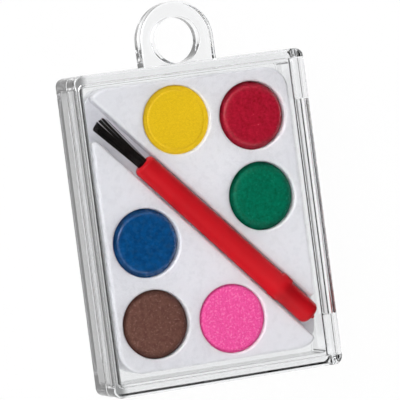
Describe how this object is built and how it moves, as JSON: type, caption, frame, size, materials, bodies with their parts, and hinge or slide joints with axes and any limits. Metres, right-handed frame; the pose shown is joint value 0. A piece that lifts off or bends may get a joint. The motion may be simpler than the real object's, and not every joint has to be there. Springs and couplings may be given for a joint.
{
  "type": "paint box",
  "caption": "Hanging watercolour paint box: clear hinged plastic case with a loop, a white tray of round paint cakes and a short brush lying in a diagonal channel.",
  "frame": {"origin": "centre of the outer face of the case's back, on which the box lies", "axes": "+Z out through the lid, +Y along the long side towards the hanging loop, +X towards the hinge"},
  "size_m": [0.051, 0.0805, 0.014],
  "materials": {
    "clear_case": "clear crystal polystyrene, polished",
    "tray_white": "white moulded polystyrene",
    "paint_yellow": "dried watercolour, satin",
    "paint_red": "dried watercolour, satin",
    "paint_green": "dried watercolour, satin",
    "paint_blue": "dried watercolour, glossy",
    "paint_brown": "pressed watercolour, grainy",
    "paint_pink": "pressed watercolour, grainy",
    "handle_red": "red moulded plastic",
    "bristle_black": "black nylon filaments",
    "anchor_wire": "flat wire"
  },
  "bodies": {
    "case": {"case_base": "clear_case", "hanging_loop": "clear_case", "paint_tray": "tray_white", "cake_yellow": "paint_yellow", "cake_red": "paint_red", "cake_green": "paint_green", "cake_blue": "paint_blue", "cake_brown": "paint_brown", "cake_pink": "paint_pink"},
    "lid": {"case_lid": "clear_case"},
    "brush": {"brush_handle": "handle_red", "bristle_tuft": "bristle_black", "bristle_anchor": "anchor_wire"}
  },
  "joints": [
    {"name": "lid_hinge", "type": "hinge", "parent": "case", "child": "lid", "pos_m": [0.0242, 0, 0.0103], "axis": [0, 1, 0], "range_deg": [0, 105]},
    {"name": "brush_slide", "type": "slide", "parent": "case", "child": "brush", "axis": [0.6639, -0.7478, 0], "range_m": [-0.0022, 0.0005]}
  ]
}
